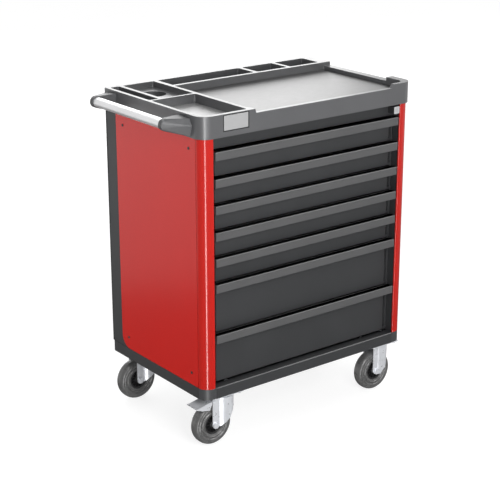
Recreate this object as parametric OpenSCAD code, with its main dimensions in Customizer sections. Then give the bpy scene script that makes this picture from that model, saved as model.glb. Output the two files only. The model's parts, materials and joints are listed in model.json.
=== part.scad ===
// Wheeled workshop trolley with seven drawers, a moulded top tray and a push handle.
// Millimetres, +Z up. X runs along the drawer fronts, Y from the front to the back.
// Modules work in cabinet coordinates: x = 0 at the cabinet's left side, y = 0 at the plane of
// its front, z = 0 at the floor. in_frame() then moves the origin to the middle of the footprint.

/* [Cabinet] */
// Width of the cabinet
body_w = 750; // [700:10:900]
// Depth of the cabinet
body_d = 476; // [476:2:560]
// Height of the base tray
base_h = 33; // [28:1:45]
// Radius of the front corners
corner_r = 30; // [26:1:31]
// Thickness of the cabinet's sheet metal
sheet = 1.5; // [1:0.5:2]

/* [Drawers] */
// Height that a low drawer takes up
low_h = 75; // [72:1:90]
// Height that a tall drawer takes up
tall_h = 150; // [120:5:200]
// Travel of a drawer
travel = 400; // [300:10:400]
// Height of a handle strip
strip_h = 24; // [18:1:28]
// Distance of the drawer fronts behind the handle strips
front_recess = 25; // [20:1:28]

/* [Top] */
// Height of the raised rims above the cabinet
top_h = 62; // [58:1:70]
// Overhang of the moulded top at the front and the sides
overhang = 5; // [3:1:8]
// Depth of the low rim below the raised rims
rim_drop = 11; // [8:1:14]
// Depth of the worktop sheet below the raised rims
sheet_drop = 22; // [18:1:26]

/* [Handle] */
// Outer diameter of the push tube
tube_d = 28; // [25:1:32]
// Distance from the cabinet's side to the tube's axis
handle_reach = 62; // [58:1:80]

/* [Castors] */
// Overall height of a castor with its plate
castor_h = 155; // [155:1:160]
// Diameter of a wheel
wheel_d = 125; // [120:1:125]
// Width of a wheel
wheel_w = 37.5; // [34:0.5:38]
// Distance from the swivel axis back to the axle
trail = 38; // [36:1:40]

/* [Hidden] */
$fn = 48;

red = [0.78, 0.16, 0.13];
dark = [0.28, 0.29, 0.30];
mid_grey = [0.42, 0.42, 0.43];
moulded = [0.36, 0.36, 0.38];
plain_steel = [0.80, 0.80, 0.80];
zinc = [0.72, 0.74, 0.77];

// Heights from the floor up
base_z = castor_h;
base_top = base_z + base_h;
bottom_gap = 5.5;
drawer_count = 7;
low_count = 5;
body_top = base_top + 720;
rim_z = body_top + top_h;
low_rim_z = rim_z - rim_drop;
worktop_z = rim_z - sheet_drop;

// Drawers and slides
column_w = 38.5;
flange_x = column_w - 3 * sheet;
post_w = 45;
slide_gap = 13;
pan_x0 = post_w + slide_gap;
pan_x1 = body_w - pan_x0;
pan_y1 = 437;
post_y = 36;
post_d = 30;
rear_post_y = 405;
slide_z = 38;
slide_y0 = 40;
slide_len = 395;
slide_sheet = 1.2;
gap = 0.1;
hook_h = 5;
hook_z = 1.5;
catch_z = 9;
bar_x = post_w - 8;

// Side panels
panel_y0 = corner_r + 2;
panel_y1 = 422;
panel_r = 38;
screw_y = [panel_y0 + 30, panel_y1 - 36];
screw_z = [base_top + 37, body_top - 33];

// Handle strip
strip_x = 44;
strip_wall = 2;

// Lock
lock_x = body_w - 53;
lock_z = body_top - 17.4;
lock_size = 21;
lock_r = 7.5;

// Top moulding
skin = 4;
tub = 3;
back_row_y = 366;
left_zone_x = 166;
step_x = 172;
corner_step_x = 673;
corner_step_y = 84;
sheet_x1 = body_w - 20;
recess_r = 24;
rim_front = 8;
can_x = 101;
can_y = 375;
can_r = 36;

// Each pocket is [left, right, front, back, floor]
tray_pocket = [6, 154, 8, 246, worktop_z - 5];
slot_pocket = [6, 36, 254, 456, rim_z - 40];
can_pocket = [48, 154, 254, 456, rim_z - 17];
long_pocket = [169, 465, 378, 457, rim_z - 45];
middle_pocket = [478, 592, 378, 457, rim_z - 45];
right_pocket = [605, 717, 378, 457, rim_z - 45];
pockets = [tray_pocket, slot_pocket, can_pocket, long_pocket, middle_pocket, right_pocket];

// Label plate
label_x = 69;
label_w = 80;
label_h = 40;
label_z = rim_z - 45;
label_gap = 3;

// Handle
handle_z = rim_z - 25;
collar_r = tube_d / 2 + 3;
front_collar_y = 87;
rear_collar_y = 415;
socket = 12;

// Castors
plate_t = 3;
wheel_r = wheel_d / 2;
kingpin_x = 88;
fixed_x = body_w - 60;
front_castor_y = 43.3;
rear_castor_y = body_d - 42.6;
fixed_trail = 22;
race_h = 7;
crown_top = base_z - plate_t - race_h - 0.5;
crown_t = 3.5;
fork_wall = 3;
leg_y = 24;
swivel_r = 35;
fixed_r = 30;
fixed_half = 28;
hub_r = 30;
axle_r = 6;
running = 0.05;
pedal_x = -40;
pedal_z = base_z - 21;

origin_x = (body_w + overhang - handle_reach - collar_r) / 2;
origin_y = (body_d - overhang) / 2;

function drawer_h(i) = i <= low_count ? low_h : tall_h;
function stack_h(i) = i > drawer_count ? 0 : drawer_h(i) + stack_h(i + 1);
function drawer_top(i) = base_top + bottom_gap + stack_h(i);
function cell_z(i) = drawer_top(i) - drawer_h(i);

module in_frame() {
    translate([-origin_x, -origin_y, 0]) children();
}

// A box between two opposite corners
module box(a, b) {
    translate(a) cube(b - a);
}

// The mirror image of a left-hand piece about the cabinet's middle
module at_right() {
    translate([body_w, 0, 0]) mirror([1, 0, 0]) children();
}

module both_sides() {
    children();
    at_right() children();
}

// A flat rectangle with its own radius at the front and at the back corners
module rounded_rect(x0, x1, y0, y1, front_r, back_r) {
    difference() {
        translate([x0, y0]) square([x1 - x0, y1 - y0]);
        corner_cut(x0, y0, 1, 1, front_r);
        corner_cut(x1, y0, -1, 1, front_r);
        corner_cut(x0, y1, 1, -1, back_r);
        corner_cut(x1, y1, -1, -1, back_r);
    }
}

module corner_cut(x, y, sx, sy, r) {
    translate([x, y]) scale_signs(sx, sy) difference() {
        translate([-1, -1]) square(r + 1);
        translate([r, r]) circle(r);
    }
}

module scale_signs(sx, sy) {
    mirror([sx < 0 ? 1 : 0, 0]) mirror([0, sy < 0 ? 1 : 0]) children();
}

module slab(x0, x1, y0, y1, front_r, back_r, z0, z1) {
    translate([0, 0, z0]) linear_extrude(z1 - z0) rounded_rect(x0, x1, y0, y1, front_r, back_r);
}

module rod_y(x, z, r, y0, y1) {
    translate([x, y0, z]) rotate([-90, 0, 0]) cylinder(r = r, h = y1 - y0);
}

// Cuts a sloping edge along X where a front face meets the top
module fold_edge(depth, length) {
    rotate([90, 0, 90]) translate([0, 0, -1]) linear_extrude(length + 2)
        polygon([[-1, 1], [-1, -depth - 1], [depth + 1, 1]]);
}

// A hexagon of the given width across flats, along Y
module hex_y(x, z, across, y0, y1) {
    translate([x, y0, z]) rotate([-90, 0, 0]) cylinder(r = across / sqrt(3), h = y1 - y0, $fn = 6);
}

// ---------- base ----------

module corner_outline(grow) {
    difference() {
        rounded_rect(0, body_w, 0, body_d, corner_r, 8);
        rounded_rect(3, body_w - 3, 3, body_d - 3, corner_r - 3, 5);
        translate([41 + grow, -1]) square([body_w - 82 - 2 * grow, body_d + 2]);
        translate([-1, 31 + grow]) square([body_w + 2, body_d]);
    }
}

module swivel_castors() {
    for (y = [front_castor_y, rear_castor_y]) translate([kingpin_x, y, 0]) children();
}

module fixed_castors() {
    for (y = [front_castor_y, rear_castor_y]) translate([fixed_x, y, 0]) children();
}

module castor_centres() {
    swivel_castors() children();
    fixed_castors() children();
}

module bolt_pattern() {
    for (x = [-40, 40], y = [-30, 30]) translate([x, y, 0]) children();
}

module base_tray() {
    wall = 2;
    flange = 28;
    color(dark) in_frame() difference() {
        slab(0, body_w, 0, body_d, corner_r, 8, base_z, base_top);
        slab(wall, body_w - wall, wall, body_d - wall, corner_r - wall, 6, base_z + wall, base_top - wall);
        translate([corner_r, 0, base_top]) fold_edge(1.8, body_w - 2 * corner_r);
        slab(flange, body_w - flange, flange, body_d - flange, 6, 6, base_top - wall - 1, base_top + 1);
        translate([0, 0, base_z - 1]) linear_extrude(base_h + 2) corner_outline(0.2);
        castor_centres() bolt_pattern() translate([0, 0, base_z - 1]) cylinder(r = 4.5, h = wall + 2);
    }
}

module base_corner_pieces() {
    color(mid_grey) in_frame() translate([0, 0, base_z]) linear_extrude(base_h) corner_outline(0);
}

// ---------- cabinet ----------

module post(y) {
    difference() {
        box([sheet, y, base_top], [post_w, y + post_d, body_top - sheet]);
        box([2 * sheet, y + sheet, base_top - 1], [post_w - sheet, y + post_d - sheet, body_top]);
    }
}

module panel_holes(r) {
    for (y = screw_y, z = screw_z)
        translate([-1, y, z]) rotate([0, 90, 0]) cylinder(r = r, h = 8);
}

module side_wall() {
    color(dark) difference() {
        union() {
            box([sheet, corner_r, base_top], [2 * sheet, body_d - sheet, body_top - sheet]);
            box([flange_x, 2 * sheet, base_top], [flange_x + sheet, post_y + sheet, body_top - sheet]);
            post(post_y);
            post(rear_post_y);
        }
        panel_holes(2.2);
    }
}

module side_wall_left() {
    in_frame() side_wall();
}

module side_wall_right() {
    in_frame() at_right() side_wall();
}

module back_panel() {
    color(dark) in_frame() box([0, body_d - sheet, base_top], [body_w, body_d, body_top]);
}

// The dust cover above the top drawer with the fascia folded down at its front
module top_panel() {
    fascia_x = column_w + 3;
    fascia_z = drawer_top(1) + 2.5;
    color(dark) in_frame() difference() {
        union() {
            box([2.5, front_recess, body_top - sheet], [body_w - 2.5, body_d - sheet, body_top]);
            box([fascia_x, front_recess, fascia_z], [body_w - fascia_x, front_recess + sheet, body_top]);
        }
        rod_y(lock_x, lock_z, lock_r + 0.5, front_recess - 1, front_recess + 3);
    }
}

// Front corner column, rolled round the corner and folded back beside the drawers
module column() {
    lip = 5;
    fold_r = 4;
    far = 4 * corner_r;
    color(red) translate([0, 0, base_top]) linear_extrude(body_top - base_top) {
        difference() {
            rounded_rect(0, far, 0, far, corner_r, 1);
            rounded_rect(sheet, far, sheet, far, corner_r - sheet, 1);
            translate([column_w - fold_r, -1]) square(far);
            translate([-1, corner_r + 1]) square(far + 2);
        }
        intersection() {
            translate([column_w - fold_r, fold_r]) difference() {
                circle(fold_r);
                circle(fold_r - sheet);
            }
            translate([column_w - fold_r, 0]) square(fold_r);
        }
        translate([column_w - sheet, fold_r]) square([sheet, lip - fold_r]);
    }
}

module column_left() {
    in_frame() column();
}

module column_right() {
    in_frame() at_right() column();
}

module side_panel() {
    z0 = base_top + 1;
    z1 = body_top - 1;
    color(red) difference() {
        translate([0, 0, z0]) rotate([90, 0, 90]) linear_extrude(sheet) difference() {
            rounded_rect(panel_y0, panel_y1, 0, z1 - z0, 3, 3);
            corner_cut(panel_y1, 0, -1, 1, panel_r);
            corner_cut(panel_y1, z1 - z0, -1, -1, 10);
        }
        panel_holes(2.2);
    }
}

module side_panel_left() {
    in_frame() side_panel();
}

module side_panel_right() {
    in_frame() at_right() side_panel();
}

module panel_screw_set() {
    for (y = screw_y, z = screw_z)
        translate([0, y, z]) rotate([0, 90, 0]) {
            cylinder(r = 2, h = 7);
            translate([0, 0, -1.4]) difference() {
                cylinder(r = 4, h = 1.4);
                translate([0, 0, -1]) cylinder(r = 1.6, h = 1.9, $fn = 6);
            }
        }
}

module panel_screws() {
    color("#222426") in_frame() both_sides() panel_screw_set();
}

// ---------- top ----------

module pocket_space(p, grow, drop, top) {
    slab(p[0] - grow, p[1] + grow, p[2] - grow, p[3] + grow, 6 + grow, 6 + grow, p[4] - drop, top);
}

module rim_steps() {
    high = rim_z + 1;
    slope = 4;
    corner_slope = 8;
    translate([0, back_row_y, 0]) rotate([90, 0, 0]) linear_extrude(back_row_y + overhang + 1)
        polygon([
            [step_x, high],
            [step_x + slope, low_rim_z],
            [corner_step_x, low_rim_z],
            [corner_step_x + corner_slope, high]
        ]);
    box([corner_step_x, corner_step_y, low_rim_z], [body_w + overhang + 1, back_row_y, high]);
}

module top_hollow() {
    x1 = body_w + overhang - skin;
    y1 = body_d - skin;
    slab(skin - overhang, x1, skin - overhang, y1, 31, 6, body_top - 1, worktop_z - 2 * skin);
    slab(skin - overhang, left_zone_x - skin, skin - overhang, y1, 31, 6, body_top, rim_z - skin);
    slab(skin - overhang, x1, back_row_y + skin, y1, 6, 6, body_top, rim_z - skin);
}

module top_moulding() {
    can_z = body_top + 8;
    color(moulded) in_frame() difference() {
        union() {
            difference() {
                slab(
                    -overhang, body_w + overhang, -overhang, body_d,
                    corner_r + overhang, 10, body_top, rim_z
                );
                top_hollow();
            }
            for (p = pockets) pocket_space(p, tub, tub, rim_z - 1);
            translate([can_x, can_y, can_z - tub]) cylinder(r = can_r + tub, h = can_pocket[4] - can_z);
        }
        for (p = pockets) pocket_space(p, 0, 0, rim_z + 1);
        translate([can_x, can_y, can_z]) cylinder(r = can_r, h = top_h);
        rim_steps();
        slab(left_zone_x, sheet_x1, rim_front, back_row_y, recess_r, 5, worktop_z - 1, rim_z + 1);
        box([label_x - label_gap, -overhang - 1, label_z - label_gap],
            [label_x + label_w + label_gap, -overhang + 1.2, label_z + label_h + label_gap]);
    }
}

module worktop_sheet() {
    color(plain_steel) in_frame()
        slab(left_zone_x + 0.5, sheet_x1 - 0.5, rim_front + 0.5, back_row_y - 0.5, recess_r - 0.5, 4.5,
            worktop_z - 1, worktop_z);
}

module tray_sheet() {
    p = tray_pocket;
    color(plain_steel) in_frame()
        slab(p[0] + 0.5, p[1] - 0.5, p[2] + 0.5, p[3] - 0.5, 5.5, 5.5, p[4], p[4] + 1);
}

module label_plate() {
    color(plain_steel) in_frame()
        box([label_x, -overhang + 0.2, label_z], [label_x + label_w, -overhang + 1.2, label_z + label_h]);
}

// ---------- handle ----------

module handle_tube() {
    y0 = front_collar_y - socket;
    y1 = rear_collar_y + socket;
    color(plain_steel) in_frame() difference() {
        rod_y(-handle_reach, handle_z, tube_d / 2, y0, y1);
        rod_y(-handle_reach, handle_z, tube_d / 2 - 2, y0 - 1, y1 + 1);
    }
}

// Body that widens from the tube's collar to a five-sided foot on the moulding's side. Its collar
// faces +Y, and the foot's front edge has its point at half height.
module handle_bracket() {
    collar_len = socket + 4;
    end_slope = 3;
    color(moulded) difference() {
        hull($fn = 48) {
            rod_y(-handle_reach, handle_z, collar_r, end_slope - collar_len, 0);
            rod_y(-handle_reach, handle_z, collar_r - end_slope, -collar_len, 0);
            translate([-overhang - 1, 0, 0]) rotate([90, 0, 90]) linear_extrude(1) polygon([
                [8, body_top + 3],
                [8, rim_z - 7],
                [-38, rim_z - 10],
                [-50, handle_z - 4],
                [-42, body_top + 3]
            ]);
        }
        rod_y(-handle_reach, handle_z, tube_d / 2, -socket, 1);
    }
}

module handle_bracket_front() {
    in_frame() translate([0, front_collar_y, 0]) handle_bracket();
}

module handle_bracket_rear() {
    in_frame() translate([0, rear_collar_y, 0]) mirror([0, 1, 0]) handle_bracket();
}

// ---------- lock ----------

module lock_housing() {
    half = lock_size / 2;
    color(plain_steel) in_frame() difference() {
        box([lock_x - half, -1, lock_z - half], [lock_x + half, front_recess, lock_z + half]);
        rod_y(lock_x, lock_z, lock_r, -2, front_recess + 1);
    }
}

module lock_cylinder() {
    cam_y = front_recess + 2.5;
    color(zinc) in_frame() {
        difference() {
            rod_y(lock_x, lock_z, lock_r - running, -1.8, cam_y + 2);
            box([lock_x - 0.8, -3, lock_z - 4.5], [lock_x + 0.8, 4, lock_z + 4.5]);
        }
        box([lock_x - 3, cam_y, lock_z - 11], [lock_x + 3, cam_y + 2, lock_z]);
    }
}

// A vertical bar in front of the right post, with one hook plate under each drawer's catch
module locking_bar() {
    bar_y = post_y - 3.5;
    hook_y = bar_y - 2;
    color(zinc) in_frame() at_right() {
        box([bar_x, bar_y, base_top + 4], [post_w - 1.5, bar_y + 3, cell_z(1) + 80]);
        for (i = [1 : drawer_count])
            box(
                [bar_x, hook_y, cell_z(i) + hook_z],
                [pan_x0 - 1.5, bar_y - gap, cell_z(i) + hook_z + hook_h]
            );
    }
}

// ---------- drawers ----------

// A channel along Y at the left side of a drawer: web on the outer side, lips towards the drawer
module channel(web_x, lip_x, half_h, y0, y1) {
    difference() {
        box([web_x, y0, -half_h], [lip_x, y1, half_h]);
        box(
            [web_x + slide_sheet, y0 - 1, -half_h + slide_sheet],
            [lip_x + 1, y1 + 1, half_h - slide_sheet]
        );
    }
}

module slide_outer_members() {
    color(zinc) in_frame() both_sides() for (i = [1 : drawer_count])
        translate([0, 0, cell_z(i) + slide_z])
            channel(post_w, post_w + 8, 17.5, slide_y0, slide_y0 + slide_len);
}

module slide_middle(i) {
    color(zinc) in_frame() both_sides() translate([0, 0, cell_z(i) + slide_z])
        channel(post_w + 5.6, pan_x0 - 1.4, 12.5, slide_y0 + 2, slide_y0 + slide_len - 3);
}

// The inner member's lips face the middle member
module slide_inner() {
    difference() {
        box([pan_x0 - 4.6, slide_y0 - 2, -9], [pan_x0 - gap, slide_y0 + slide_len - 5, 9]);
        box([pan_x0 - 5, slide_y0 - 3, -7.8], [pan_x0 - slide_sheet - gap, slide_y0 + slide_len, 7.8]);
    }
}

module pan(i) {
    side_h = drawer_h(i) - 15;
    z0 = cell_z(i) + 4;
    wall = 1.5;
    difference() {
        box([pan_x0, front_recess, z0], [pan_x1, pan_y1, z0 + side_h]);
        box(
            [pan_x0 + wall, front_recess + wall, z0 + wall],
            [pan_x1 - wall, pan_y1 - wall, z0 + side_h + 1]
        );
    }
    box([pan_x0, front_recess, cell_z(i) + 2], [pan_x1, front_recess + wall, drawer_top(i) - strip_wall]);
}

module drawer(i) {
    color(dark) in_frame() {
        pan(i);
        both_sides() translate([0, 0, cell_z(i) + slide_z]) slide_inner();
        at_right() translate([0, 0, cell_z(i) + catch_z])
            box([pan_x0 - 3.8, post_y - 2, 0], [pan_x0 - gap, post_y + 1, hook_h]);
    }
}

// A trough that is open at the top, closed by a cap at each end
module drawer_handle(i) {
    z1 = drawer_top(i);
    z0 = z1 - strip_h;
    back = front_recess - strip_wall;
    x1 = body_w - strip_x;
    color(mid_grey) in_frame() difference() {
        box([strip_x, 0, z0], [x1, front_recess, z1]);
        box([strip_x + 2, strip_wall, z0 + strip_wall], [x1 - 2, back, z1 + 1]);
        box([strip_x - 1, back - 3, z1 - strip_wall], [x1 + 1, front_recess + 1, z1 + 1]);
        translate([strip_x, 0, z1]) fold_edge(1.6, x1 - strip_x);
    }
}

// ---------- castors ----------

module castor_plate() {
    difference() {
        slab(-52.5, 52.5, -42.5, 42.5, 8, 8, base_z - plate_t, base_z);
        bolt_pattern() translate([0, 0, base_z - plate_t - 1]) cylinder(r = 4.5, h = plate_t + 2);
    }
}

// Plate with its ball race and the kingpin that carries the fork's crown
module swivel_plate() {
    race_z = base_z - plate_t - race_h;
    castor_plate();
    translate([0, 0, race_z]) cylinder(r = 24, h = race_h + 0.5);
    translate([0, 0, race_z + 3]) cylinder(r = 29, h = race_h - 2.5);
    translate([0, 0, crown_top - crown_t - 7]) cylinder(r = axle_r, h = 20);
    translate([0, 0, crown_top - crown_t - 7]) cylinder(r = 10, h = 6.5);
}

module swivel_plates() {
    color(zinc) in_frame() swivel_castors() swivel_plate();
}

module castor_bolt() {
    head_z = base_z - plate_t - 5.3;
    translate([0, 0, head_z]) cylinder(r = 13 / sqrt(3), h = 5.3, $fn = 6);
    translate([0, 0, head_z + 1]) cylinder(r = 4, h = 18);
    translate([0, 0, base_z + 2]) cylinder(r = 13 / sqrt(3), h = 6.5, $fn = 6);
}

module castor_bolts() {
    color(zinc) in_frame() castor_centres() bolt_pattern() castor_bolt();
}

// Plan of a fork: flat parallel legs at the left of a round crown, whose sides may be cut flat too
module fork_plan(left, half, r, crown_half) {
    intersection() {
        union() {
            circle(r);
            translate([left, -half]) square([-left, 2 * half]);
        }
        translate([left, -crown_half]) square([r - left, 2 * crown_half]);
    }
}

// Side view of a fork's legs. edge is the lower right outline from the axle end up.
module fork_side(left, axle_x, top, edge) {
    polygon(concat([[left, top], [left, wheel_r], [axle_x - 6, wheel_r - 8]], edge, [[50, top]]));
    translate([axle_x, wheel_r]) circle(left < axle_x - 12 ? 9 : -left + axle_x);
}

module fork(left, r, crown_half, axle_x, top, roof, edge) {
    inner = leg_y - fork_wall;
    head_r = 10.5;
    difference() {
        intersection() {
            linear_extrude(top) fork_plan(left, leg_y, r, crown_half);
            translate([0, 60, 0]) rotate([90, 0, 0]) linear_extrude(120) fork_side(left, axle_x, top, edge);
        }
        translate([0, 0, -1]) linear_extrude(top - roof + 1)
            fork_plan(left, inner, r - fork_wall, crown_half - fork_wall);
        translate([left - 1, -inner, -1]) cube([20, 2 * inner, top - roof + 1]);
        rod_y(axle_x, wheel_r, axle_r + 0.2, -40, 40);
        rod_y(axle_x, wheel_r, head_r, leg_y, 40);
        rod_y(axle_x, wheel_r, head_r, -40, -leg_y);
    }
}

swivel_edge = [[-34, 52], [-23, 57], [8, 80], [27, 108], [50, 128]];
fixed_edge = [[-8, 52], [11, 71], [18, 85], [18, 112], [50, 114]];

module swivel_fork() {
    color(zinc) difference() {
        fork(-47, swivel_r, swivel_r, -trail, crown_top, crown_t, swivel_edge);
        translate([0, 0, crown_top - 10]) cylinder(r = axle_r + running, h = 20);
        rod_y(pedal_x, pedal_z, 3 + running, -40, 40);
    }
}

module swivel_fork_front() {
    in_frame() translate([kingpin_x, front_castor_y, 0]) swivel_fork();
}

module swivel_fork_rear() {
    in_frame() translate([kingpin_x, rear_castor_y, 0]) swivel_fork();
}

module fixed_forks() {
    color(zinc) in_frame() fixed_castors() {
        castor_plate();
        fork(-fixed_trail - 13, fixed_r, fixed_half, -fixed_trail, base_z - plate_t + 0.5, 3, fixed_edge);
    }
}

module axle_bolt() {
    end_y = leg_y + 2;
    rod_y(0, wheel_r, axle_r, -end_y, end_y);
    hex_y(0, wheel_r, 17, -end_y - 3, -leg_y);
    hex_y(0, wheel_r, 17, leg_y, end_y + 3);
}

module swivel_axle_front() {
    color(zinc) in_frame() translate([kingpin_x - trail, front_castor_y, 0]) axle_bolt();
}

module swivel_axle_rear() {
    color(zinc) in_frame() translate([kingpin_x - trail, rear_castor_y, 0]) axle_bolt();
}

module fixed_axle_bolts() {
    color(zinc) in_frame() fixed_castors() translate([-fixed_trail, 0, 0]) axle_bolt();
}

// Wide foot plate with side skirts, and a narrow arm with the pivot pin and the brake shoe
module brake_pedal() {
    tip = -102;
    root = -49;
    tip_z = crown_top - 14;
    wide = leg_y - 0.5;
    narrow = leg_y - fork_wall - 1.5;
    color(zinc) in_frame() translate([kingpin_x, front_castor_y, 0]) {
        difference() {
            translate([0, wide, 0]) rotate([90, 0, 0]) linear_extrude(2 * wide) polygon([
                [tip - 3, tip_z + 1],
                [tip + 4, tip_z - 1],
                [root, pedal_z + 5],
                [root, pedal_z - 3],
                [root - 8, pedal_z - 20],
                [root - 34, pedal_z - 15],
                [tip, tip_z - 4]
            ]);
            translate([0, wide - 2, 0]) rotate([90, 0, 0]) linear_extrude(2 * wide - 4) polygon([
                [tip + 1, tip_z - 4],
                [tip + 4, tip_z - 3.2],
                [root + 1, pedal_z + 2.8],
                [root + 1, pedal_z - 30],
                [tip + 1, pedal_z - 30]
            ]);
        }
        box([root - 2, -narrow, pedal_z], [pedal_x, narrow, pedal_z + 5]);
        rod_y(pedal_x, pedal_z, 4.5, -narrow, narrow);
        rod_y(pedal_x, pedal_z, 3, -leg_y - 1.5, leg_y + 1.5);
    }
}

module hub_profile() {
    boss_half = leg_y - fork_wall - 1;
    translate([axle_r + running, -boss_half]) square([7, 2 * boss_half]);
    translate([axle_r + 5, -3]) square([hub_r - axle_r - 7, 6]);
    translate([hub_r - 4, -13]) square([4, 26]);
}

module hub() {
    translate([0, 0, wheel_r]) {
        rotate([90, 0, 0]) rotate_extrude($fn = 64) hub_profile();
        for (k = [0 : 5]) rotate([0, 60 * k, 0]) box([10, -9, -1.5], [hub_r - 2, 9, 1.5]);
    }
}

// Section of the tyre: round tread, flat wall and a raised ring on each side
module tyre_profile() {
    half = wheel_w / 2;
    round_r = 14;
    shoulder = wheel_r - round_r;
    translate([hub_r, 3 - half]) square([shoulder - hub_r, wheel_w - 6]);
    translate([shoulder - 3, -half]) square([3, wheel_w]);
    translate([shoulder - 3, round_r - half]) square([round_r + 3, wheel_w - 2 * round_r]);
    for (side = [-1, 1]) {
        translate([shoulder, side * (half - round_r)]) circle(round_r);
        translate([hub_r + 7, side * (half - 3)]) circle(2);
    }
}

module tyre() {
    translate([0, 0, wheel_r]) rotate([90, 0, 0]) rotate_extrude($fn = 96) tyre_profile();
}

// Moves a wheel to its castor
module at_wheel(castor_x, axle_offset, y) {
    in_frame() translate([castor_x - axle_offset, y, 0]) children();
}

module hub_at(castor_x, axle_offset, y) {
    color("#1c1c1d") at_wheel(castor_x, axle_offset, y) hub();
}

module tyre_at(castor_x, axle_offset, y) {
    color([0.37, 0.36, 0.36]) at_wheel(castor_x, axle_offset, y) tyre();
}

base_tray();
base_corner_pieces();
side_wall_left();
side_wall_right();
back_panel();
top_panel();
column_left();
column_right();
side_panel_left();
side_panel_right();
panel_screws();
top_moulding();
worktop_sheet();
tray_sheet();
label_plate();
handle_tube();
handle_bracket_front();
handle_bracket_rear();
lock_housing();
lock_cylinder();
locking_bar();
slide_outer_members();
drawer(1);  // drawer_1
drawer(2);  // drawer_2
drawer(3);  // drawer_3
drawer(4);  // drawer_4
drawer(5);  // drawer_5
drawer(6);  // drawer_6
drawer(7);  // drawer_7
drawer_handle(1);  // drawer_handle_1
drawer_handle(2);  // drawer_handle_2
drawer_handle(3);  // drawer_handle_3
drawer_handle(4);  // drawer_handle_4
drawer_handle(5);  // drawer_handle_5
drawer_handle(6);  // drawer_handle_6
drawer_handle(7);  // drawer_handle_7
slide_middle(1);  // slide_middle_1
slide_middle(2);  // slide_middle_2
slide_middle(3);  // slide_middle_3
slide_middle(4);  // slide_middle_4
slide_middle(5);  // slide_middle_5
slide_middle(6);  // slide_middle_6
slide_middle(7);  // slide_middle_7
swivel_plates();
castor_bolts();
fixed_forks();
fixed_axle_bolts();
swivel_fork_front();
swivel_fork_rear();
swivel_axle_front();
swivel_axle_rear();
brake_pedal();
hub_at(kingpin_x, trail, front_castor_y);  // hub_front_left
hub_at(kingpin_x, trail, rear_castor_y);  // hub_rear_left
hub_at(fixed_x, fixed_trail, front_castor_y);  // hub_front_right
hub_at(fixed_x, fixed_trail, rear_castor_y);  // hub_rear_right
tyre_at(kingpin_x, trail, front_castor_y);  // tyre_front_left
tyre_at(kingpin_x, trail, rear_castor_y);  // tyre_rear_left
tyre_at(fixed_x, fixed_trail, front_castor_y);  // tyre_front_right
tyre_at(fixed_x, fixed_trail, rear_castor_y);  // tyre_rear_right
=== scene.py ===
"""Looks of the wheeled drawer trolley: materials, rounded sheet metal and plastic, castor details,
camera, floor and light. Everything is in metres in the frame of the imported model."""

import json
import math

import bmesh
import bpy
from mathutils import Matrix, Vector


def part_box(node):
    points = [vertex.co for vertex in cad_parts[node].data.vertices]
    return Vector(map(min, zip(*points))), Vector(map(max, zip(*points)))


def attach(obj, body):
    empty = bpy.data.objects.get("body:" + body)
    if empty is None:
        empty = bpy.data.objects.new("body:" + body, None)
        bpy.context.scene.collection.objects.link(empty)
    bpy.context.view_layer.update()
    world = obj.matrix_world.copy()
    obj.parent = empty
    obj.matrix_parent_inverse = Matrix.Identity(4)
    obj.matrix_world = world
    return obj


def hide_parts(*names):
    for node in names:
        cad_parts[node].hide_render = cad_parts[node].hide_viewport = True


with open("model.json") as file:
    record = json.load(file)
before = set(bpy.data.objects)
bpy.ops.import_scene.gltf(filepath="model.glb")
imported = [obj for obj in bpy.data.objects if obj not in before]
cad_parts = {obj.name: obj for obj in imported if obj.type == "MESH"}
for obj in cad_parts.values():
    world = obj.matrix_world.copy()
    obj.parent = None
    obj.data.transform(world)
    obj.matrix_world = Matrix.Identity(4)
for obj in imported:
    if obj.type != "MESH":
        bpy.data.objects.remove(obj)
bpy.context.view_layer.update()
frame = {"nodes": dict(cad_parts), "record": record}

RECORD = frame["record"]
SLOT_OF = {part["node"]: part["material_slot"] for part in RECORD["subparts"]}
BODY_OF = {n: body for body, nodes in RECORD["behaviour"]["bodies"].items() for n in nodes}
MM = 0.001
CABINET_ORIGIN = (338, 235.5)  # the frame's origin from the cabinet's left side and front plane, in mm
DRAWERS = range(1, 8)
WHEELS = ("front_left", "rear_left", "front_right", "rear_right")
BRACKETS = ("handle_bracket_front", "handle_bracket_rear")
COLUMNS = ("column_left", "column_right")


# ---------- camera ----------

camera_data = bpy.data.cameras.new("camera")
camera_data.lens = 98.66
camera_data.sensor_width = 36.0
camera_data.clip_end = 100.0
camera = bpy.data.objects.new("camera", camera_data)
camera.location = (-2.3599, -3.0697, 1.8050)
camera.rotation_euler = (math.radians(90 - 19.01), 0.0, math.radians(-37.57))
bpy.context.scene.collection.objects.link(camera)
bpy.context.scene.camera = camera


# ---------- materials ----------

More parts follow.
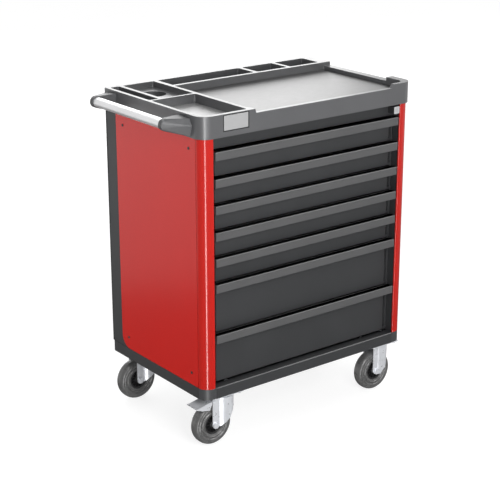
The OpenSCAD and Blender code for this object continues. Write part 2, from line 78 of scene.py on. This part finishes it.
class Shader:
    """A material whose nodes read the object's own coordinates, in metres."""

    def __init__(self, name):
        self.material = bpy.data.materials.new(name)
        self.material.use_nodes = True
        self.tree = self.material.node_tree
        self.tree.nodes.clear()
        self.bsdf = self.node("ShaderNodeBsdfPrincipled")
        output = self.node("ShaderNodeOutputMaterial")
        self.link(self.bsdf.outputs["BSDF"], output.inputs["Surface"])
        self.place = self.node("ShaderNodeTexCoord").outputs["Object"]

    def node(self, kind, **settings):
        made = self.tree.nodes.new(kind)
        for key, value in settings.items():
            setattr(made, key, value)
        return made

    def link(self, source, target):
        self.tree.links.new(source, target)

    def noise(self, scale, detail=3.0, stretch=(1, 1, 1), turn=0.0, roughness=0.5):
        """Noise with features of about 1/scale metres, drawn out along axes whose stretch is small."""
        mapping = self.node("ShaderNodeMapping")
        mapping.inputs["Scale"].default_value = stretch
        mapping.inputs["Rotation"].default_value = (0, 0, turn)
        self.link(self.place, mapping.inputs["Vector"])
        noise = self.node("ShaderNodeTexNoise")
        noise.inputs["Scale"].default_value = scale
        noise.inputs["Detail"].default_value = detail
        noise.inputs["Roughness"].default_value = roughness
        self.link(mapping.outputs["Vector"], noise.inputs["Vector"])
        return noise.outputs["Fac"]

    def ranged(self, value, low, high, start=0.2, end=0.8):
        made = self.node("ShaderNodeMapRange", interpolation_type="SMOOTHSTEP")
        made.inputs["From Min"].default_value = start
        made.inputs["From Max"].default_value = end
        made.inputs["To Min"].default_value = low
        made.inputs["To Max"].default_value = high
        self.link(value, made.inputs["Value"])
        return made.outputs["Result"]

    def mixed(self, factor, first, second):
        made = self.node("ShaderNodeMix", data_type="RGBA")
        self.link(factor, made.inputs["Factor"])
        for socket, colour in ((made.inputs[6], first), (made.inputs[7], second)):
            if isinstance(colour, tuple):
                socket.default_value = (*colour, 1)
            else:
                self.link(colour, socket)
        return made.outputs[2]

    def maths(self, operation, first, second):
        made = self.node("ShaderNodeMath", operation=operation)
        for socket, value in ((made.inputs[0], first), (made.inputs[1], second)):
            if isinstance(value, (int, float)):
                socket.default_value = value
            else:
                self.link(value, socket)
        return made.outputs[0]

    def bump(self, height, distance, strength=1.0):
        made = self.node("ShaderNodeBump")
        made.inputs["Distance"].default_value = distance
        made.inputs["Strength"].default_value = strength
        self.link(height, made.inputs["Height"])
        if self.bsdf.inputs["Normal"].is_linked:
            self.link(self.bsdf.inputs["Normal"].links[0].from_socket, made.inputs["Normal"])
        self.link(made.outputs["Normal"], self.bsdf.inputs["Normal"])

    def colour(self, socket):
        self.link(socket, self.bsdf.inputs["Base Color"])

    def rough(self, socket):
        self.link(socket, self.bsdf.inputs["Roughness"])


def lighter(colour, by):
    return tuple(min(1.0, c * by) for c in colour)


def coated(name, colour, rough, grain_size, grain_height, clouds=0.06, gloss=0.5):
    """Powder coat or moulded plastic: cloudy tone, orange peel and fine grain."""
    s = Shader(name)
    cloud = s.noise(9, 4)
    fine = s.noise(1 / grain_size, 2)
    peel = s.noise(1 / (6 * grain_size), 2)
    tone = s.mixed(s.ranged(cloud, 0, 1), lighter(colour, 1 - clouds), lighter(colour, 1 + clouds))
    speck = s.mixed(s.ranged(fine, 0, 1, 0.55, 0.8), tone, lighter(colour, 1.3))
    s.colour(speck)
    s.rough(s.ranged(s.noise(16, 3), 0.94 * rough, 1.06 * rough))
    s.bump(peel, 2 * grain_height, 0.5)
    s.bump(fine, grain_height)
    s.bsdf.inputs["Specular IOR Level"].default_value = gloss
    return s.material


def brushed(name, colour, rough, stretch, scratch_height, worn=0.05, metallic=1.0):
    """Bare metal with lines drawn out along one axis and a few fine scratches."""
    s = Shader(name)
    lines = s.noise(1, 3, stretch, roughness=0.7)
    cloud = s.noise(7, 4)
    scratch_a = s.noise(1, 2, (900, 14, 60), 0.5)
    scratch_b = s.noise(1, 2, (22, 800, 60), 0.9)
    scratches = s.maths("MAXIMUM", s.ranged(scratch_a, 0, 1, 0.72, 0.8), s.ranged(scratch_b, 0, 1, 0.73, 0.8))
    tone = s.mixed(s.ranged(cloud, 0, 1), lighter(colour, 1 - worn), lighter(colour, 1 + worn))
    s.colour(s.mixed(s.ranged(lines, 0, 0.35), tone, lighter(colour, 0.82)))
    base_rough = s.ranged(lines, rough - 0.05, rough + 0.07)
    s.rough(s.maths("ADD", base_rough, s.maths("MULTIPLY", scratches, 0.08)))
    s.bump(lines, scratch_height)
    s.bsdf.inputs["Metallic"].default_value = metallic
    return s.material


def zinc_plate(name, colour, rough):
    """Bright zinc plating: cloudy patches and the fine waviness of pressed sheet."""
    s = Shader(name)
    patches = s.noise(40, 3)
    s.colour(s.mixed(s.ranged(patches, 0, 1), lighter(colour, 0.93), lighter(colour, 1.03)))
    s.rough(s.ranged(s.noise(90, 3), rough - 0.04, rough + 0.06))
    s.bump(s.noise(24, 2), 0.00005)
    s.bsdf.inputs["Metallic"].default_value = 0.4
    return s.material


def rubber(name, colour):
    s = Shader(name)
    cloud = s.noise(30, 5, roughness=0.65)
    fine = s.noise(1500, 2)
    dusty = s.mixed(s.ranged(cloud, 0, 1), lighter(colour, 0.86), lighter(colour, 1.16))
    s.colour(s.mixed(s.ranged(fine, 0, 0.5, 0.5, 0.8), dusty, lighter(colour, 1.35)))
    s.rough(s.ranged(cloud, 0.24, 0.33))
    s.bump(fine, 0.00002)
    return s.material


MATERIALS = {
    "dark_paint": coated("dark_paint", (0.034, 0.035, 0.037), 0.42, 0.0009, 0.000012),
    "red_paint": coated("red_paint", (0.54, 0.012, 0.008), 0.17, 0.0012, 0.0000008, 0.015, 0.45),
    "strip_grey": coated("strip_grey", (0.080, 0.080, 0.082), 0.38, 0.0010, 0.00001),
    "moulded_plastic": coated("moulded_plastic", (0.082, 0.083, 0.087), 0.34, 0.0014, 0.00002, 0.05, 1.0),
    "grey_plastic": coated("grey_plastic", (0.045, 0.047, 0.050), 0.45, 0.0012, 0.00002),
    "black_plastic": coated("black_plastic", (0.014, 0.014, 0.015), 0.45, 0.0012, 0.00002),
    "tyre_rubber": rubber("tyre_rubber", (0.095, 0.0945, 0.094)),
    "steel_sheet": brushed("steel_sheet", (0.087, 0.087, 0.087), 0.36, (30, 1400, 60), 0.000004),
    "label_metal": brushed("label_metal", (0.45, 0.45, 0.455), 0.38, (60, 400, 1600), 0.000004, 0.05, 0.35),
    "tube_aluminium": brushed("tube_aluminium", (0.92, 0.92, 0.93), 0.34, (900, 25, 900), 0.000004, 0.05, 0.7),
    "lock_metal": brushed("lock_metal", (0.60, 0.60, 0.61), 0.32, (1200, 90, 90), 0.000003, 0.05, 0.4),
    "zinc": zinc_plate("zinc", (0.76, 0.775, 0.81), 0.30),
    "black_steel": coated("black_steel", (0.03, 0.028, 0.028), 0.35, 0.0008, 0.00001),
}

# Second tones that a few pieces carry beside their own material; the four below are painted shade or painted light,
# not another finish
# painted shade: a near-black tone on the handle-strip troughs, the label recess in the moulding and the lock housing's
# sides, where shade falls
PAINTED_SHADE_DARK = coated("painted_shade_dark", (0.017, 0.017, 0.018), 0.6, 0.0010, 0.00001)
# painted light: a lighter copy of the worktop steel, so the tray looks lit
TRAY_STEEL_PAINTED_LIGHT = brushed("tray_steel_painted_light", (0.37, 0.37, 0.37), 0.42, (30, 1400, 60), 0.000004, 0.05, 0.6)
# painted shade: a darker copy of the red paint on the columns, to hold back the light they catch
COLUMN_RED_PAINTED_SHADE = coated("column_red_painted_shade", (0.44, 0.012, 0.008), 0.17, 0.0012, 0.0000008, 0.015, 0.45)
# painted shade: a darker, less glossy copy of the moulded plastic on the handle brackets, to tone down their highlight
BRACKET_PLASTIC_PAINTED_SHADE = coated("bracket_plastic_painted_shade", (0.070, 0.071, 0.075), 0.46, 0.0014, 0.00002, 0.05, 0.5)

for node, obj in frame["nodes"].items():
    for material_slot in obj.material_slots:
        material_slot.material = MATERIALS[SLOT_OF[node]]


# ---------- pieces ----------

def place(name, mesh, slot, body, smooth=True):
    """Puts a mesh in the scene as a piece that rides on a body."""
    piece = bpy.data.objects.new(name, mesh)
    bpy.context.scene.collection.objects.link(piece)
    for polygon in mesh.polygons:
        polygon.use_smooth = smooth
    mesh.materials.clear()
    mesh.materials.append(MATERIALS[slot])
    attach(piece, body)
    return piece


def round_edges(piece, width, segments=2, angle=32):
    bevel = piece.modifiers.new("edges", "BEVEL")
    bevel.width = width
    bevel.segments = segments
    bevel.limit_method = "ANGLE"
    bevel.angle_limit = math.radians(angle)
    bevel.use_clamp_overlap = True
    normals = piece.modifiers.new("normals", "WEIGHTED_NORMAL")
    normals.weight = 80


def cleaned(node):
    """The CAD node's mesh as clean faces: doubled points merged, flat triangles joined."""
    bm = bmesh.new()
    bm.from_mesh(frame["nodes"][node].data)
    bmesh.ops.remove_doubles(bm, verts=bm.verts, dist=1e-5)
    bmesh.ops.dissolve_limit(bm, angle_limit=math.radians(0.6), verts=bm.verts, edges=bm.edges)
    bmesh.ops.recalc_face_normals(bm, faces=bm.faces)
    mesh = bpy.data.meshes.new(node + "_rounded")
    bm.to_mesh(mesh)
    bm.free()
    return mesh


def rounded(node, width, segments=2):
    """Shows a CAD node with rounded edges, in the same place and size."""
    piece = place(node + "_rounded", cleaned(node), SLOT_OF[node], BODY_OF[node])
    round_edges(piece, width, segments)
    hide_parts(node)
    return piece


def row(x, y, z):
    """A point in millimetres from the cabinet's left side, front plane and floor."""
    return Vector((x - CABINET_ORIGIN[0], y - CABINET_ORIGIN[1], z)) * MM


def second_material(piece, material, low, high):
    """Gives the faces whose middle lies in a box another material."""
    piece.data.materials.append(material)
    for polygon in piece.data.polygons:
        if all(a < c < b for a, c, b in zip(low, polygon.center, high)):
            polygon.material_index = 1


EDGE_RADII = {
    0.6 * MM: ["base_tray", "side_wall_left", "side_wall_right", "back_panel", "top_panel", "column_left",
               "column_right", "fixed_forks", "swivel_fork_front", "swivel_fork_rear", "brake_pedal",
               "swivel_plates", "handle_tube"],
    0.4 * MM: ["side_panel_left", "side_panel_right", "panel_screws", "label_plate", "tray_sheet",
               "worktop_sheet", "locking_bar", "castor_bolts"],
    0.8 * MM: ["base_corner_pieces", "lock_housing", "swivel_axle_front", "swivel_axle_rear",
               "fixed_axle_bolts"],
    1.2 * MM: ["top_moulding"],
    3.0 * MM: BRACKETS,
}
STRIP_WALL = 1.9 * MM

# Nodes, their second tone, and the lower and upper corner of the box that holds the faces which get it
SECOND_TONES = [
    # painted shade in the label recess of the moulding
    (("top_moulding",), PAINTED_SHADE_DARK, row(60, -4.9, 915), row(155, -2, 972)),
    # painted shade on the sides of the lock housing, which sit in the fascia
    (("lock_housing",), PAINTED_SHADE_DARK, row(650, -0.9, 800), row(750, 40, 908)),
    (("locking_bar",), MATERIALS["dark_paint"], row(650, 0, 150), row(750, 60, 908)),
    # painted light on the tray sheet
    (("tray_sheet",), TRAY_STEEL_PAINTED_LIGHT, row(0, 0, 900), row(338, 400, 970)),
    # painted shade on the handle brackets
    (BRACKETS, BRACKET_PLASTIC_PAINTED_SHADE, row(-100, -50, 880), row(50, 600, 1000)),
    # painted shade on the red columns
    (COLUMNS, COLUMN_RED_PAINTED_SHADE, row(-50, -50, 100), row(800, 600, 1000)),
]

pieces = {}
for radius, nodes in EDGE_RADII.items():
    for node in nodes:
        pieces[node] = rounded(node, radius)
for nodes, tone, low, high in SECOND_TONES:
    for node in nodes:
        second_material(pieces[node], tone, low, high)
for i in DRAWERS:
    rounded(f"drawer_{i}", 0.5 * MM)
    strip = rounded(f"drawer_handle_{i}", 0.8 * MM)
    # painted shade: the trough inside each handle strip gets the near-black tone
    low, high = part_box(f"drawer_handle_{i}")
    trough_low = low + Vector((STRIP_WALL, STRIP_WALL, STRIP_WALL))
    trough_high = high + Vector((-STRIP_WALL, STRIP_WALL, STRIP_WALL))
    second_material(strip, PAINTED_SHADE_DARK, trough_low, trough_high)


# ---------- wheels ----------

def lathe(name, profile, centre, segments=96):
    """A ring about an axis along Y, from a closed outline of (radius, offset along the axis)."""
    mesh = bpy.data.meshes.new(name)
    bm = bmesh.new()
    rings = []
    for k in range(segments):
        a = 2 * math.pi * k / segments
        rings.append([bm.verts.new(centre + Vector((r * math.cos(a), y, r * math.sin(a)))) for r, y in profile])
    count = len(profile)
    for k in range(segments):
        here, after = rings[k], rings[(k + 1) % segments]
        for n in range(count):
            m = (n + 1) % count
            bm.faces.new((here[n], here[m], after[m], after[n]))
    bmesh.ops.recalc_face_normals(bm, faces=bm.faces)
    bm.to_mesh(mesh)
    bm.free()
    return mesh


def both_flanks(half):
    """Closes an outline given from the bore to the tread on one flank with its mirror image."""
    points = [(r * MM, y * MM) for r, y in half]
    return points + [(r, -y) for r, y in reversed(points)]


TYRE_HALF = [(30, 12), (30, 14.6), (31, 15.4), (34.4, 15.5), (35.4, 16.2), (36.4, 17.6), (38, 18.3), (39.6, 17.7),
             (40.8, 15.8), (42.2, 15.2), (43.6, 15.7), (44.8, 17.4), (46.6, 18.6), (48.4, 18.7), (50.2, 18.1),
             (51.2, 16.8), (52.4, 16.4), (53.6, 17), (55.4, 16.7), (58, 15), (60.3, 12.2), (61.6, 9), (62.3, 5.5),
             (62.45, 2), (62.3, 1.2), (62.3, 0.4)]
RIM_HALF = [(24.4, 3), (24.4, 12.6), (25, 13.3), (27, 13.6), (28.4, 13.3), (29, 14.6), (30, 15), (30.2, 14), (30.2, 3)]
WEB_HALF = [(11, 3.2), (13, 3.4), (21, 2.6), (24.6, 3.2)]
BOSS_HALF = [(6.06, 19.4), (6.6, 19.95), (9.4, 19.95), (10.2, 19.2), (10.8, 16.8), (12.6, 15.4), (13, 13.5), (12.6, 3)]
RIBS = 12


def box_mesh(bm, low, high, turn):
    """Adds a box with the given corners, moved by a matrix."""
    made = bmesh.ops.create_cube(bm, size=1.0)["verts"]
    size = Vector(high) - Vector(low)
    middle = (Vector(high) + Vector(low)) / 2
    for v in made:
        v.co = turn @ (Vector(a * b for a, b in zip(v.co, size)) + middle)


def hub_mesh(name, centre):
    mesh = bpy.data.meshes.new(name)
    bm = bmesh.new()
    for half in (RIM_HALF, WEB_HALF, BOSS_HALF):
        part = lathe(name + "_part", both_flanks(half), centre, 72)
        bm.from_mesh(part)
        bpy.data.meshes.remove(part)
    for k in range(RIBS):
        turn = Matrix.Translation(centre) @ Matrix.Rotation(2 * math.pi * k / RIBS, 4, "Y")
        box_mesh(bm, (12 * MM, -11.5 * MM, -0.9 * MM), (24.8 * MM, 11.5 * MM, 0.9 * MM), turn)
    bm.to_mesh(mesh)
    bm.free()
    return mesh


for wheel in WHEELS:
    low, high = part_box("tyre_" + wheel)
    middle = (low + high) / 2
    tyre = place("tyre_" + wheel + "_ribbed", lathe("tyre", both_flanks(TYRE_HALF), middle, 128),
                 "tyre_rubber", BODY_OF["tyre_" + wheel])
    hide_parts("tyre_" + wheel)
    hub = place("hub_" + wheel + "_ribbed", hub_mesh("hub", middle), "black_plastic", BODY_OF["hub_" + wheel])
    round_edges(hub, 0.35 * MM, 2, 40)
    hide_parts("hub_" + wheel)


# ---------- floor, light ----------

FLOOR_HALF = 40


def floor_plane(half):
    """A white floor that glows, casts no shadow and isn't seen in reflections."""
    mesh = bpy.data.meshes.new("floor")
    mesh.from_pydata([(-half, -half, 0), (half, -half, 0), (half, half, 0), (-half, half, 0)], [], [(0, 1, 2, 3)])
    floor = bpy.data.objects.new("floor", mesh)
    bpy.context.scene.collection.objects.link(floor)
    s = Shader("floor")
    s.colour(s.mixed(s.ranged(s.noise(0.8, 3), 0, 1), (0.30, 0.30, 0.30), (0.32, 0.32, 0.32)))
    s.rough(s.ranged(s.noise(5, 3), 0.7, 0.8))
    s.bsdf.inputs["Emission Color"].default_value = (1, 1, 1, 1)
    s.bsdf.inputs["Emission Strength"].default_value = 0.8
    s.bsdf.inputs["Specular IOR Level"].default_value = 0.0
    mesh.materials.append(s.material)
    floor.visible_glossy = False
    floor.visible_shadow = False


# Lights: name, azimuth (from +X, towards +Y), elevation, distance, width, height, power, seen only in reflections
LIGHTS = [
    ("top_light", 60, 85, 4.5, 4.0, 4.0, 20, False),
    ("back_light", 66, 22, 6.0, 4.4, 4.4, 185, False),
    ("front_light", 252, 22, 2.5, 1.2, 1.2, 41, False),
    ("edge_light", 320, 41, 4.0, 1.6, 1.6, 90, True),
    ("tyre_light", 238, 41, 4.0, 1.2, 1.2, 30, True),
    ("corner_strip", 234, -19, 4.0, 0.45, 3.0, 80, True),
    ("panel_glow", 128, -12, 4.0, 3.0, 1.2, 4.5, True),
]
LIGHT_TARGET = Vector((0, 0, 0.5))


def softbox(name, azimuth, elevation, distance, width, height, power, reflected_only):
    """A rectangular area light that points at the object's middle."""
    data = bpy.data.lights.new(name, "AREA")
    data.shape = "RECTANGLE"
    data.size = width
    data.size_y = height
    data.energy = power
    lamp = bpy.data.objects.new(name, data)
    a, e = math.radians(azimuth), math.radians(elevation)
    away = Vector((math.cos(e) * math.cos(a), math.cos(e) * math.sin(a), math.sin(e)))
    lamp.location = LIGHT_TARGET + distance * away
    lamp.rotation_euler = away.to_track_quat("Z", "Y").to_euler()
    lamp.visible_camera = False
    lamp.visible_diffuse = not reflected_only
    bpy.context.scene.collection.objects.link(lamp)


def sky():
    """White above the horizon, brighter behind the object; it fades to dark towards the ground."""
    world = bpy.data.worlds.new("world")
    bpy.context.scene.world = world
    world.use_nodes = True
    tree = world.node_tree

    def smooth_step(value, start, end, low, high):
        made = tree.nodes.new("ShaderNodeMapRange")
        made.interpolation_type = "SMOOTHSTEP"
        for socket, number in (("From Min", start), ("From Max", end), ("To Min", low), ("To Max", high)):
            made.inputs[socket].default_value = number
        tree.links.new(value, made.inputs["Value"])
        return made.outputs["Result"]

    direction = tree.nodes.new("ShaderNodeTexCoord").outputs["Generated"]
    split = tree.nodes.new("ShaderNodeSeparateXYZ")
    tree.links.new(direction, split.inputs[0])
    behind = tree.nodes.new("ShaderNodeVectorMath")
    behind.operation = "DOT_PRODUCT"
    behind.inputs[1].default_value = (0.6, 0.8, 0)
    tree.links.new(direction, behind.inputs[0])
    product = tree.nodes.new("ShaderNodeMath")
    product.operation = "MULTIPLY"
    tree.links.new(smooth_step(split.outputs["Z"], -0.42, -0.12, 0.06, 0.85), product.inputs[0])
    tree.links.new(smooth_step(behind.outputs["Value"], -0.5, 0.4, 0.45, 1.0), product.inputs[1])
    background = tree.nodes["Background"]
    background.inputs["Color"].default_value = (1, 1, 1, 1)
    tree.links.new(product.outputs[0], background.inputs["Strength"])


floor_plane(FLOOR_HALF)
for light in LIGHTS:
    softbox(*light)
sky()
bpy.context.scene.view_settings.view_transform = "Standard"
